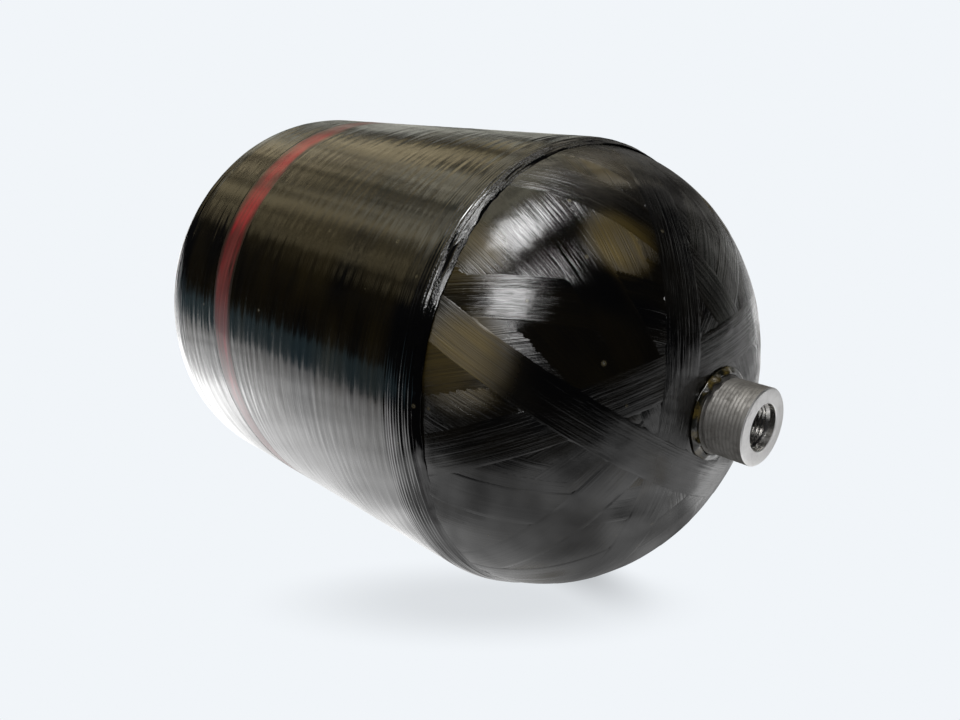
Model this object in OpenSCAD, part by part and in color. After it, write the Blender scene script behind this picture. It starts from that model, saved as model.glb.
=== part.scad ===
// Filament-wound composite pressure vessel, lying on its side.
// A seamless aluminium liner with an integral threaded neck carries helical plies
// over its whole surface, hoop plies over its cylinder, and a coloured tracer band.
// Row frame: +X along the vessel axis towards the neck, +Z up, origin on the
// ground under the middle of the overall length.

/* [Vessel] */
// Outside diameter over the hoop turns
vessel_d = 196; // [160:1:260]
// Length between the tangent planes of the two domes
cyl_len = 172; // [120:1:400]
// Depth of the composite dome past its tangent plane
dome_depth = 75.5; // [66:0.5:90]
// Fullness of the dome curve, where 2 is a true ellipse
dome_power = 1.9; // [1.8:0.01:2.2]

/* [Liner] */
// Wall of the liner along the cylinder
liner_wall = 4; // [2.5:0.1:6]
// Wall of the liner at the middle of each dome
liner_pole_wall = 9; // [6:0.5:14]

/* [Neck] */
// Outside diameter of the neck thread
neck_d = 30; // [26:0.5:38]
// How far the neck end face stands past the top of the composite dome
neck_len = 17.5; // [12:0.5:30]
// Radial step from the thread out to the collar at the neck root
collar_step = 0.5; // [0.2:0.1:2]
// How far the collar stands past the top of the composite dome
collar_stand = 0.9; // [0.5:0.1:3]
// Width of the thread relief groove above the collar
relief_w = 1.8; // [1:0.1:3]
// Radial depth of the relief groove below the thread
relief_depth = 1.1; // [0.6:0.1:2]
// Chamfer at the outer rim of the neck face
neck_chamfer = 0.5; // [0.2:0.1:1.5]
// Minor diameter of the threaded bore
bore_d = 16.4; // [12:0.1:18]
// Radial step from the threaded bore out to the seal seat at its mouth
seat_step = 0.9; // [0.4:0.1:2]
// Depth of the seal seat
seat_depth = 2.4; // [1:0.1:5]

/* [Blind boss] */
// Diameter of the blind boss on the closed dome
boss_d = 31; // [24:0.5:38]
// How far the blind boss stands past the top of the closed composite dome
boss_stand = 2; // [1:0.1:5]
// Chamfer round the blind boss
boss_chamfer = 0.8; // [0.2:0.1:1.5]

/* [Helical plies] */
// Thickness of the helical plies along the cylinder
helical_t = 4; // [2:0.1:7]
// Thickness of the helical plies at the polar openings
polar_t = 5.5; // [4:0.1:9]
// Radial gap between the metal and the edge of each polar opening
polar_gap = 1.2; // [0.6:0.1:3]

/* [Outer helical bands] */
// Bands of the last helical layer on each dome
band_count = 10; // [5:5:15]
// Width of one band
band_w = 17; // [10:0.5:22]
// Height of the lowest band above the helical plies
band_low = 0.3; // [0.25:0.05:0.8]
// Extra height of each band over the one laid before it
band_step = 0.06; // [0.04:0.01:0.15]
// Direction of the closest approach of the last band laid, seen from the neck
band_start = 242; // [0:1:359]
// Bands laid in one round of the dome
bands_per_round = 5; // [3:1:9]

/* [Hoop plies] */
// Thickness of the hoop plies along the cylinder
hoop_t = 2.5; // [1.8:0.1:5]
// Thickness left at the two ends of the hoop plies
hoop_edge_t = 2; // [1.7:0.1:3]
// How far the hoop plies run past each tangent plane
hoop_overhang = 14; // [8:0.5:20]
// Spacing of the turns over the cylinder
turn_pitch = 6; // [4:0.5:12]
// Depth of the valley between two turns over the cylinder
turn_valley = 0.12; // [0.05:0.01:0.3]
// Spacing of the coarse turns at each end
edge_pitch = 2.2; // [1.5:0.1:4]
// Number of coarse turns at each end
edge_turns = 9; // [4:1:12]
// Depth of the valley between two coarse turns
edge_valley = 0.4; // [0.1:0.05:0.8]

/* [Tracer band] */
// Distance of the tracer band from the tangent plane at the neck end
tracer_at = 127; // [40:1:130]
// Width of the tracer band
tracer_w = 15; // [5:0.5:20]
// Thickness of the tracer band, sunk into the hoop plies
tracer_t = 0.8; // [0.4:0.1:1.4]
// Lean of the tracer band away from square to the axis
tracer_lean = 6.5; // [0:0.5:8]

/* [Neck resin] */
// Width of the resin fillet beyond the collar
resin_w = 2.8; // [2.4:0.1:5]
// Height of the resin fillet on the collar above the helical plies
resin_h = 2; // [1.7:0.1:4]
// Radius of the resin beads that stand on the fillet
bead_r = 1.4; // [1:0.1:2]

/* [Hidden] */

// Clearance between pieces that are bonded into each other
bond_gap = 0.1;
// Facets per turn and steps along each dome curve
turn_fn = 180;
dome_steps = 12;
// Share of a turn's pitch at which its flat crest starts and ends
crest_start = 0.18;
crest_end = 0.82;

vessel_r = vessel_d / 2;
wrap_r = vessel_r - hoop_t;
liner_r = wrap_r - helical_t;
liner_depth = dome_depth - polar_t;
cavity_r = liner_r - liner_wall;
cavity_depth = liner_depth - liner_pole_wall;
neck_r = neck_d / 2;
collar_r = neck_r + collar_step;
bore_r = bore_d / 2;
seat_r = bore_r + seat_step;
boss_r = boss_d / 2;

// Axial places are distances from the tangent plane at the neck end
neck_face = dome_depth + neck_len;
collar_top = dome_depth + collar_stand;
relief_top = collar_top + relief_w;
boss_face = -cyl_len - dome_depth - boss_stand;
axis_shift = -(neck_face + boss_face) / 2;

neck_opening = collar_r + polar_gap;
base_opening = boss_r + polar_gap;
band_top = band_low + band_step * (band_count - 1);

// Radius and height of a dome curve of base radius a and depth h
function dome_radius(a, h, u) = a * pow(1 - pow(u / h, dome_power), 1 / dome_power);
function dome_height(a, h, r) = h * pow(1 - pow(r / a, dome_power), 1 / dome_power);

// Points of a dome curve from its tangent plane up to radius r_end
function dome_curve(a, h, r_end) = concat(
    [for (i = [0 : dome_steps - 1])
        let (t = 90 * i / dome_steps, r = a * pow(cos(t), 2 / dome_power))
        if (r > r_end + 0.5) [r, h * pow(sin(t), 2 / dome_power)]],
    [[r_end, dome_height(a, h, r_end)]]);

function reversed(points) = [for (i = [len(points) - 1 : -1 : 0]) points[i]];

// The same curve on the dome at the neck end and on the closed dome
function at_neck(points) = reversed(points);
function at_base(points) = [for (p = points) [p[0], -cyl_len - p[1]]];

// Turns an outline of [radius, axial place] points about the vessel axis
module turned(points) {
    rotate_extrude($fn = turn_fn) polygon(points);
}

// Sets a shape built about the Z axis onto the lying vessel's axis
module lying() {
    translate([axis_shift, 0, vessel_r]) rotate([0, 90, 0]) children();
}

liner_outline = concat(
    [[bore_r, neck_face - seat_depth - seat_step],
        [seat_r, neck_face - seat_depth],
        [seat_r, neck_face],
        [neck_r - neck_chamfer, neck_face],
        [neck_r, neck_face - neck_chamfer],
        [neck_r, relief_top],
        [neck_r - relief_depth, relief_top],
        [neck_r - relief_depth, collar_top],
        [collar_r, collar_top]],
    at_neck(dome_curve(liner_r, liner_depth, collar_r)),
    at_base(dome_curve(liner_r, liner_depth, boss_r)),
    [[boss_r, boss_face + boss_chamfer],
        [boss_r - boss_chamfer, boss_face],
        [0, boss_face],
        [0, -cyl_len - cavity_depth]],
    reversed(at_base(dome_curve(cavity_r, cavity_depth, bore_r))),
    reversed(at_neck(dome_curve(cavity_r, cavity_depth, bore_r))));

module liner() {
    color("#8d8984") lying() turned(liner_outline);
}

helical_outline = concat(
    at_neck(dome_curve(wrap_r, dome_depth, neck_opening)),
    at_base(dome_curve(wrap_r, dome_depth, base_opening)),
    reversed(at_base(dome_curve(liner_r, liner_depth, base_opening))),
    reversed(at_neck(dome_curve(liner_r, liner_depth, neck_opening))));

module helical_wrap() {
    color("#23221d") lying() turned(helical_outline);
}

// Outer radius of the hoop plies at a distance e past a tangent plane
function hoop_top(e) = e <= 0 ? vessel_r
    : dome_radius(wrap_r, dome_depth, e) + hoop_t + (hoop_edge_t - hoop_t) * e / hoop_overhang;

// Distance of an axial place past the nearer tangent plane
function past_tangent(u) = max(u, -cyl_len - u);

// One turn that starts at u and runs towards the closed dome: crest, then valley
function hoop_turn(u, pitch, valley) = [
    [hoop_top(past_tangent(u - pitch * crest_start)), u - pitch * crest_start],
    [hoop_top(past_tangent(u - pitch * crest_end)), u - pitch * crest_end],
    [hoop_top(past_tangent(u - pitch)) - valley, u - pitch]];

edge_zone = edge_turns * edge_pitch;
plain_start = hoop_overhang - edge_zone;
plain_len = cyl_len + 2 * plain_start;
plain_turns = round(plain_len / turn_pitch);
plain_pitch = plain_len / plain_turns;

// The far end repeats the near end's coarse turns in mirror image
near_turns = [for (i = [0 : edge_turns - 1]) each hoop_turn(hoop_overhang - i * edge_pitch, edge_pitch, edge_valley)];
plain_middle = [for (i = [0 : plain_turns - 1]) each hoop_turn(plain_start - i * plain_pitch, plain_pitch,
    i < plain_turns - 1 ? turn_valley : edge_valley)];
far_turns = [for (p = reversed(near_turns)) if (p[1] > plain_start + 0.01) [p[0], -cyl_len - p[1]]];

// The inner face follows the helical plies, so both faces share their points
function under_hoop() = concat(
    [for (p = dome_curve(wrap_r, dome_depth, neck_opening)) if (p[1] < hoop_overhang - 0.5) p],
    [[dome_radius(wrap_r, dome_depth, hoop_overhang), hoop_overhang]]);

hoop_outline = concat(
    [[hoop_top(hoop_overhang) - edge_valley, hoop_overhang]],
    near_turns,
    plain_middle,
    far_turns,
    [[hoop_top(hoop_overhang) - edge_valley, -cyl_len - hoop_overhang]],
    reversed(at_base(under_hoop())),
    under_hoop());

// Slab, square to the axis apart from its lean, that bounds the tracer band
module tracer_slab(width) {
    translate([0, 0, -tracer_at]) rotate([0, -tracer_lean, 0])
        cube([3 * vessel_r, 3 * vessel_r, width], center = true);
}

// Ring between two radii, long enough to reach both sides of the leaning slab
module tracer_ring(r_in, r_out) {
    reach = tracer_w + 2 * vessel_r * sin(tracer_lean);
    turned([[r_in, -tracer_at - reach], [r_out, -tracer_at - reach],
        [r_out, -tracer_at + reach], [r_in, -tracer_at + reach]]);
}

module hoop_wrap() {
    color("#2b2a24") lying() difference() {
        turned(hoop_outline);
        intersection() {
            tracer_ring(vessel_r - tracer_t - bond_gap, vessel_r + 1);
            tracer_slab(tracer_w + 2 * bond_gap);
        }
    }
}

module tracer_band() {
    color("#6e2f30") lying() intersection() {
        tracer_ring(vessel_r - tracer_t, vessel_r - bond_gap / 2);
        tracer_slab(tracer_w);
    }
}

// Skin over the helical plies, from the end of the hoop plies to the opening
module dome_skin(opening, height) {
    start = hoop_overhang + 3 * bond_gap;
    outer = [for (p = dome_curve(wrap_r + height, dome_depth + height, opening)) if (p[1] > start + 0.5) p];
    inner = [for (p = dome_curve(wrap_r + bond_gap, dome_depth + bond_gap, opening)) if (p[1] > start + 0.5) p];
    turned(concat(
        [[dome_radius(wrap_r + bond_gap, dome_depth + bond_gap, start), start],
            [dome_radius(wrap_r + height, dome_depth + height, start), start]],
        outer, reversed(inner)));
}

// A helical band follows the shortest path over the dome, which lies close to a
// plane through the dome's centre. The band is the skin inside a slab that leans
// about that centre until its inner face touches the polar opening.
module band_slab(opening, angle) {
    lean = atan2(opening + band_w / 2, dome_height(wrap_r, dome_depth, opening + band_w / 2));
    rotate([0, 0, angle]) rotate([0, lean, 0])
        cube([band_w, 3 * vessel_r, 3 * vessel_r], center = true);
}

// Angle of band i, counted from the first laid: each round is a star round the
// opening, and the next round falls halfway between its points
round_step = 360 / bands_per_round;
function band_angle(i) = let (from_last = band_count - 1 - i)
    -round_step * (from_last + floor(from_last / bands_per_round) / 2);

// Directions seen from the neck run from +Y towards +Z, and this is the angle that
// such a direction has before the vessel is laid down
function before_lying(direction) = direction + 90;

module dome_bands(opening) {
    for (i = [0 : band_count - 1])
        intersection() {
            dome_skin(opening, band_low + i * band_step);
            band_slab(opening, before_lying(band_start + band_angle(i)));
        }
}

module neck_bands() {
    color("#302e27") lying() dome_bands(neck_opening);
}

module base_bands() {
    color("#302e27") lying() translate([0, 0, -cyl_len]) mirror([0, 0, 1])
        dome_bands(base_opening);
}

// Fillet of squeezed-out resin that fills the crevice round a boss and laps over the bands
module resin_fillet(metal_r, opening) {
    seat = dome_height(liner_r, liner_depth, opening) + bond_gap;
    lap = dome_height(wrap_r, dome_depth, opening) + band_top + bond_gap;
    crest = dome_height(wrap_r, dome_depth, opening) + resin_h;
    turned([[metal_r + bond_gap, seat + polar_gap / 2],
        [opening - bond_gap, seat],
        [opening - bond_gap, lap],
        [metal_r + resin_w, lap],
        [metal_r + resin_w - 0.4, lap + 0.5],
        [metal_r + resin_w / 2, (lap + crest) / 2],
        [metal_r + bond_gap, crest]]);
}

// Directions of the resin beads round the neck, seen from the neck
bead_angles = [88, 112, 131, 205, 238, 330];

module neck_resin() {
    bead_u = dome_height(wrap_r, dome_depth, neck_opening) + band_top + bead_r + bond_gap;
    color("#7a6a35") lying() {
        resin_fillet(collar_r, neck_opening);
        for (a = bead_angles)
            rotate([0, 0, before_lying(a)]) translate([collar_r + bead_r + bond_gap, 0, bead_u])
                sphere(r = bead_r, $fn = 48);
    }
}

module base_resin() {
    color("#7a6a35") lying() translate([0, 0, -cyl_len]) mirror([0, 0, 1])
        resin_fillet(boss_r, base_opening);
}

liner();
helical_wrap();
hoop_wrap();
tracer_band();
neck_bands();
base_bands();
neck_resin();
base_resin();
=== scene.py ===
import math
import random

import bmesh
import bpy
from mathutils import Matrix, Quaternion, Vector, noise


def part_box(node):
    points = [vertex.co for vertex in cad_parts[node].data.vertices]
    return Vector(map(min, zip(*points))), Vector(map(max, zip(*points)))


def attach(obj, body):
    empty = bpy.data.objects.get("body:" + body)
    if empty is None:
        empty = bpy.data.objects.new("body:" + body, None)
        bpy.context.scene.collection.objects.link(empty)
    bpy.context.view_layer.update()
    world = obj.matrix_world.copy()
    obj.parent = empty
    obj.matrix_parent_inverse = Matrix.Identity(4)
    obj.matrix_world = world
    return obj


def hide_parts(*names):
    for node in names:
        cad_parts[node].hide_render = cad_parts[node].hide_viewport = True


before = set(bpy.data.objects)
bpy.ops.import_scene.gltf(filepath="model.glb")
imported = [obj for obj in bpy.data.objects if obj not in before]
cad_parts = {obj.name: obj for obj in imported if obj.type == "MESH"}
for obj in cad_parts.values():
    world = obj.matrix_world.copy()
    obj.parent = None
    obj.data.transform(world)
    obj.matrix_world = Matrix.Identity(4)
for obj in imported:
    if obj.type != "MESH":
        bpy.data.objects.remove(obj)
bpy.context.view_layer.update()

mm = 0.001
fullTurn = 2 * math.pi
hoopLow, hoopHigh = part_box("hoop_wrap")
linerLow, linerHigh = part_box("liner")

# Sizes of the vessel in metres, with its axis along X
vessel = {
    "radius": (hoopHigh.z - hoopLow.z) / 2,
    "axisHeight": (hoopHigh.z + hoopLow.z) / 2,
    "hoopOverhang": 14 * mm,
    "hoopThickness": 2.5 * mm,
    "hoopEdgeThickness": 2 * mm,
    "domeDepth": 75.5 * mm,
    "domePower": 1.9,  # 2 would be a true ellipse
    "polarOpening": 16.7 * mm,
    "helicalThickness": 4 * mm,
    "polarThickness": 5.5 * mm,  # of the helical plies at the poles
}
wrapRadius = vessel["radius"] - vessel["hoopThickness"]
linerRadius = wrapRadius - vessel["helicalThickness"]
linerDepth = vessel["domeDepth"] - vessel["polarThickness"]
neckTangent = hoopHigh.x - vessel["hoopOverhang"]
baseTangent = hoopLow.x + vessel["hoopOverhang"]
axisPoint = Vector((0, 0, vessel["axisHeight"]))

# Noise behind each unevenness: scales along X, Y and Z, and a seed
grains = {
    "wander": ((60, 6, 6), 0.0),
    "strand": ((1100, 14, 14), 8.0),
    "strandPhase": ((90, 5, 5), 30.0),
    "ridge": ((300, 7, 7), 4.0),
    "ripple": ((250, 10, 10), 9.0),
    "fineRipple": ((750, 16, 16), 5.0),
    "uneven": ((420, 75, 75), 13.0),
    "fineUneven": ((900, 150, 150), 17.0),
    "crumb": ((700, 190, 190), 21.0),
    "crumbPatch": ((900, 60, 60), 25.0),
    "tracer": ((700, 14, 14), 2.0),
}


# Small helpers

def smoothStep(low, high, value):
    share = min(max((value - low) / (high - low), 0.0), 1.0)
    return share * share * (3 - 2 * share)


# A dome by default is that of the helical plies, and past is a distance past its tangent plane

def domeRadius(past, baseRadius=wrapRadius, depth=vessel["domeDepth"]):
    power = vessel["domePower"]
    return baseRadius * max(0.0, 1 - (past / depth) ** power) ** (1 / power)


def domeHeight(radius, baseRadius=wrapRadius, depth=vessel["domeDepth"]):
    power = vessel["domePower"]
    return depth * max(0.0, 1 - (radius / baseRadius) ** power) ** (1 / power)


def domeCurve(radiusEnd, steps, baseRadius=wrapRadius, depth=vessel["domeDepth"]):
    power = vessel["domePower"]
    points = []
    for step in range(steps):
        turn = math.pi / 2 * step / steps
        radius = baseRadius * math.cos(turn) ** (2 / power)
        if radius > radiusEnd + 0.3 * mm:
            points.append((depth * math.sin(turn) ** (2 / power), radius))
    points.append((domeHeight(radiusEnd, baseRadius, depth), radiusEnd))
    return points


def atNeck(points):  # (distance past the tangent plane, radius) as (x, radius)
    return [(neckTangent + past, radius) for past, radius in points]


def atBase(points):
    return [(baseTangent - past, radius) for past, radius in points]


def angleOf(place):  # angle about the axis, 0 at the top and half a turn at the ground
    return math.atan2(place.y, place.z - vessel["axisHeight"])


def radiusOf(place):
    return math.hypot(place.y, place.z - vessel["axisHeight"])


def roughness(place, grain):  # smooth noise of a place, between about -1 and 1
    scale, seed = grains[grain]
    return noise.noise(Vector((place[0] * scale[0], place[1] * scale[1], place[2] * scale[2] + seed)))


def ringNoise(angle, waves, seed):  # noise that closes on itself round the axis
    return noise.noise(Vector((math.cos(angle) * waves, math.sin(angle) * waves, seed)))


def tangentOf(end):  # end is 1 at the neck and -1 at the closed base
    return neckTangent if end > 0 else baseTangent


def domeCentre(end):
    return Vector((tangentOf(end), 0, vessel["axisHeight"]))


def newPiece(name, mesh, *materials, smooth=True, sharpFrom=None):
    for face in mesh.faces:
        face.smooth = smooth
    data = bpy.data.meshes.new(name)
    mesh.to_mesh(data)
    mesh.free()
    for material in materials:
        data.materials.append(material)
    if sharpFrom:
        data.set_sharp_from_angle(angle=math.radians(sharpFrom))
    piece = bpy.data.objects.new(name, data)
    bpy.context.scene.collection.objects.link(piece)
    print("made", name, len(data.polygons), "faces")
    return piece


def finishPiece(piece, slot, *nodes):
    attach(piece, "root")
    if nodes:
        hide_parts(*nodes)


def turnOutline(outline, steps):  # spins a closed outline of (x, radius) points about the axis
    mesh = bmesh.new()
    height = vessel["axisHeight"]
    corners = [mesh.verts.new((x, 0, height - radius)) for x, radius in outline]
    edges = [mesh.edges.new(pair) for pair in zip(corners, corners[1:] + corners[:1])]
    bmesh.ops.spin(mesh, geom=corners + edges, cent=axisPoint, axis=(1, 0, 0), angle=fullTurn,
                   steps=steps, use_merge=True)
    bmesh.ops.remove_doubles(mesh, verts=mesh.verts, dist=1e-7)
    bmesh.ops.recalc_face_normals(mesh, faces=mesh.faces)
    return mesh


def wrapMap(mesh, name, reach, along):  # UV map in metres, U round the axis and V as along says
    layer = mesh.loops.layers.uv.new(name)
    for face in mesh.faces:
        middle = angleOf(face.calc_center_median())
        for loop in face.loops:
            angle = angleOf(loop.vert.co)
            angle += fullTurn * round((middle - angle) / fullTurn)
            loop[layer].uv = (angle * reach, along(loop.vert.co))


def fibreMap(mesh):  # U follows the fibre round the vessel
    wrapMap(mesh, "fibre", vessel["radius"], lambda place: place.x)


def newLayers(mesh, *names):
    return [mesh.verts.layers.float.new(name) for name in names]


def moveRadially(vert, rise, shift=0.0):
    outward = Vector((0, vert.co.y, vert.co.z - vessel["axisHeight"])).normalized()
    vert.co += outward * rise + Vector((shift, 0, 0))


# Node helpers

def feed(tree, socket, value):  # a plain value, or another node's output to link
    if isinstance(value, bpy.types.NodeSocket):
        tree.links.new(value, socket)
    else:
        socket.default_value = value


def setInputs(tree, node, **values):
    for name, value in values.items():
        feed(tree, node.inputs[name.replace("_", " ")], value)


def addNode(tree, kind, **values):  # names with a capital are inputs, and the others are settings
    node = tree.nodes.new("ShaderNode" + kind)
    column, row = divmod(len(tree.nodes), 6)
    node.location = (column * 200 - 2400, -row * 200)
    for name, value in values.items():
        if name[0].isupper():
            setInputs(tree, node, **{name: value})
        else:
            setattr(node, name, value)
    return node


def newGroup(name, inputs, outputs):  # an input with no value is a vector
    group = bpy.data.node_groups.new(name, "ShaderNodeTree")
    for label, value in inputs.items():
        kind = "NodeSocketVector" if value is None else "NodeSocketFloat"
        socket = group.interface.new_socket(label, in_out="INPUT", socket_type=kind)
        if value is not None:
            socket.default_value = value
    for label in outputs:
        group.interface.new_socket(label, in_out="OUTPUT", socket_type="NodeSocketFloat")
    start = group.nodes.new("NodeGroupInput")
    end = group.nodes.new("NodeGroupOutput")
    start.location = (-2600, 0)
    end.location = (600, 0)
    return group, start.outputs, end


def mathNode(tree, operation, *values, clamp=False):
    node = addNode(tree, "Math", operation=operation, use_clamp=clamp)
    for socket, value in zip(node.inputs, values):
        feed(tree, socket, value)
    return node.outputs[0]


def times(tree, product, *values):
    for value in values:
        product = mathNode(tree, "MULTIPLY", product, value)
    return product


def lessened(tree, value, mask, amount):  # value with up to amount of it taken away by mask
    return times(tree, value, mathNode(tree, "MULTIPLY_ADD", mask, -amount, 1.0))


def mixColour(tree, factor, first, second, blend="MIX"):
    node = addNode(tree, "Mix", data_type="RGBA", blend_type=blend)
    for index, value in ((0, factor), (6, first), (7, second)):
        feed(tree, node.inputs[index], value)
    return node.outputs[2]


def spread(tree, value, low, high, first=0.0, last=1.0, interpolation="LINEAR"):
    return addNode(tree, "MapRange", interpolation_type=interpolation, Value=value, From_Min=low,
                   From_Max=high, To_Min=first, To_Max=last).outputs["Result"]


def ramp(tree, value, low, high):  # smooth step from 0 at low to 1 at high
    return spread(tree, value, low, high, interpolation="SMOOTHSTEP")


def stretchedNoise(tree, vector, scale, detail, dimensions="2D"):
    mapping = addNode(tree, "Mapping", Vector=vector, Scale=scale)
    return addNode(tree, "TexNoise", noise_dimensions=dimensions, Vector=mapping.outputs[0], Scale=1.0,
                   Detail=detail, Roughness=0.6).outputs["Fac"]


def attribute(tree, name):
    return addNode(tree, "Attribute", attribute_name=name).outputs["Fac"]


def objectPlaces(tree):
    return addNode(tree, "TexCoord").outputs["Object"]


def addBump(tree, shader, height, depth):
    bump = addNode(tree, "Bump", Strength=1.0, Distance=depth, Height=height)
    setInputs(tree, shader, Normal=bump.outputs[0])


def newMaterial(name):
    material = bpy.data.materials.new(name)
    material.use_nodes = True
    tree = material.node_tree
    tree.nodes["Principled BSDF"].location = (1400, 0)
    tree.nodes["Material Output"].location = (1700, 0)
    return material, tree, tree.nodes["Principled BSDF"]


def fibreGroup():  # fine fibres, tows and cloudy patches along a map whose U follows the fibre
    group, start, end = newGroup("fibre streaks", {"Vector": None}, ("Fine", "Tow", "Cloud"))
    vector = start["Vector"]
    setInputs(group, end,
              Fine=spread(group, stretchedNoise(group, vector, (18, 1250, 1), 3), 0.3, 0.7),
              Tow=spread(group, stretchedNoise(group, vector, (7, 330, 1), 2), 0.3, 0.7),
              Cloud=spread(group, stretchedNoise(group, vector, (16, 45, 1), 2), 0.35, 0.65))
    return group


def pitGroup():  # sparse round pits, each with a pale ring round it that is a painted glint
    group, start, end = newGroup(
        "resin pits", {"Vector": None, "Density": 110.0, "Share": 0.14, "Size": 0.06}, ("Pit", "Rim"))
    cells = addNode(group, "TexVoronoi", Vector=start["Vector"], Scale=start["Density"])
    picked = addNode(group, "SeparateColor", Color=cells.outputs["Color"])
    chosen = mathNode(group, "LESS_THAN", picked.outputs[0], start["Share"])
    size = times(group, start["Size"], mathNode(group, "ADD", picked.outputs[1], 0.4))
    near = mathNode(group, "DIVIDE", cells.outputs["Distance"], size)
    fromRim = mathNode(group, "ABSOLUTE", mathNode(group, "SUBTRACT", near, 1.2))
    setInputs(group, end,
              Pit=times(group, mathNode(group, "SUBTRACT", 1.0, near, clamp=True), chosen),
              Rim=times(group, mathNode(group, "SUBTRACT", 1.0, fromRim, clamp=True), chosen))
    return group


fibreStreaks = fibreGroup()
resinPits = pitGroup()


def streaks(tree):
    alongFibre = addNode(tree, "UVMap", uv_map="fibre").outputs[0]
    return addNode(tree, "Group", node_tree=fibreStreaks, Vector=alongFibre).outputs


laminateLook = {
    "black": (0.0012, 0.0012, 0.0013, 1),
    "olive": (0.122, 0.086, 0.021, 1),
    "fineShare": 0.45,  # of the fine fibres in how the olive shows, and then of the cloudy patches
    "cloudShare": 0.55,
    "leastShown": 0.12,
    "fibreRoughness": 0.45,
    "shownFully": 0.3,  # share of olive from which the roughness is the fibre's own
    "dryRoughness": 0.28,  # added where no resin covers the fibre
    "pooledRelief": 0.75,  # how much of the fibre's relief pooled resin takes away
    "pitColour": (0.003, 0.003, 0.002, 1),
    # painted glint: colour of the pale ring round each pit, and how much of it shows
    "rimGlintColour": (0.10, 0.085, 0.05, 1),
    "rimGlintShare": 0.5,
    "pitDepth": 6.0,
    "gritScale": 1500.0,
    "gritDepth": 0.7 * mm,
    "sheen": 0.85,  # how metallic the fibre is where the resin lets it show
    "anisotropy": 0.9,
    "clearCoat": 0.3,
    "clearCoatRoughness": 0.08,
}


def laminateMaterial(name, pitDensity, streakDepth, resinRoughness):
    # Carbon under clear resin. Its UV map has U along the fibre. Its attribute "tone" is 0 where the fibre
    # stays black and 1 where it is olive and metallic, which on the domes is painted sheen, "dry" is 1 where
    # no resin covers the fibre, "pooled" is 1 where thick resin has smoothed the fibre over, and "grit" is 1
    # where the resin has crumbled.
    material, tree, shader = newMaterial(name)
    look = laminateLook
    places = objectPlaces(tree)
    fine, tow, cloud = streaks(tree)
    pit, rim = addNode(tree, "Group", node_tree=resinPits, Vector=places, Density=pitDensity).outputs
    tone, dry, pooled, crumbled = [attribute(tree, label) for label in ("tone", "dry", "pooled", "grit")]
    cloudy = mathNode(tree, "MULTIPLY_ADD", cloud, look["cloudShare"], look["leastShown"])
    grain = mathNode(tree, "MULTIPLY_ADD", fine, look["fineShare"], cloudy)
    shown = mathNode(tree, "MULTIPLY", tone, grain, clamp=True)
    colour = mixColour(tree, shown, look["black"], look["olive"])
    colour = mixColour(tree, pit, colour, look["pitColour"])
    # painted glint: a pale ring round each pit
    colour = mixColour(tree, times(tree, rim, look["rimGlintShare"]), colour, look["rimGlintColour"])
    rough = spread(tree, shown, 0.0, look["shownFully"], resinRoughness, look["fibreRoughness"])
    covered = mathNode(tree, "SUBTRACT", 1.0, dry, clamp=True)
    setInputs(tree, shader, Base_Color=colour, Metallic=times(tree, shown, look["sheen"]),
              Roughness=mathNode(tree, "MULTIPLY_ADD", dry, look["dryRoughness"], rough),
              Coat_Weight=times(tree, covered, look["clearCoat"]))
    height = lessened(tree, mathNode(tree, "ADD", fine, tow), pooled, look["pooledRelief"])
    height = mathNode(tree, "SUBTRACT", height, times(tree, pit, look["pitDepth"]))
    grit = addNode(tree, "TexNoise", Scale=look["gritScale"], Detail=2.0, Vector=places).outputs["Fac"]
    gritShare = times(tree, crumbled, look["gritDepth"] / streakDepth)
    height = mathNode(tree, "ADD", height, times(tree, grit, gritShare))
    addBump(tree, shader, height, streakDepth)
    tangent = addNode(tree, "Tangent", direction_type="UV_MAP", uv_map="fibre").outputs[0]
    setInputs(tree, shader, Tangent=tangent, IOR=1.55, Anisotropic=look["anisotropy"],
              Anisotropic_Rotation=0.25, Coat_Roughness=look["clearCoatRoughness"], Coat_IOR=1.5)
    return material


# Hoop plies over the cylinder

hoopPlies = {
    "steps": 280,  # facets round the vessel
    "edgePitch": 2.2 * mm,
    "edgeTurns": 9,
    "edgeRidge": 0.34 * mm,  # depth of the valleys between the coarse turns at each end
    "pointsPerEdgeTurn": 8,
    "lipPoints": 16,
    "middleSpacing": 0.9 * mm,
    "turnPitch": 6 * mm,
    "turnRidge": 0.04 * mm,
    "ripple": 0.03 * mm,
    "unevenness": 0.075 * mm,  # along each turn, so that reflected edges break up
    "raggedEdge": 1.1 * mm,  # how far the end of the plies wanders along the axis
    "raggedLength": 6 * mm,
    "setBack": 0.4 * mm,
    "tone": 0.09,
    "grit": 0.12 * mm,  # crumbled resin on the lips
    "baseShare": 0.35,  # how rough the closed end is beside the neck end
    "valleyDryness": 0.5,  # between the coarse turns of the neck end
    "baseLipDryness": 0.75,
    "wornTurn": -0.45,  # where the neck end's lip is worn down most, as an angle from the top
    "wornFrom": (0.75, 0.92),  # cosines of the angles from there where the wear starts and is full
    "keptLip": 0.55,  # share of the lip's drop that isn't there outside the worn part
    "flushFrom": (0.0, -0.3),  # cosines of the angles, near the ground, where the neck end gets flush
    "flushLength": 15 * mm,
    "lip": (5.2 * mm, 1.9 * mm),  # length and height of the rounded lip at each end
    "lipSlope": 0.72,  # share of the lip that is a slope, beside its rounded share
    "sway": 6.5 * mm,  # how far the top of the neck end stays back from its plain place
    "swayTurn": -0.2,  # where that is, as an angle from the top
    "swayFade": (6 * mm, 55 * mm),  # distances from the end over which the sway dies out
}
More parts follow.
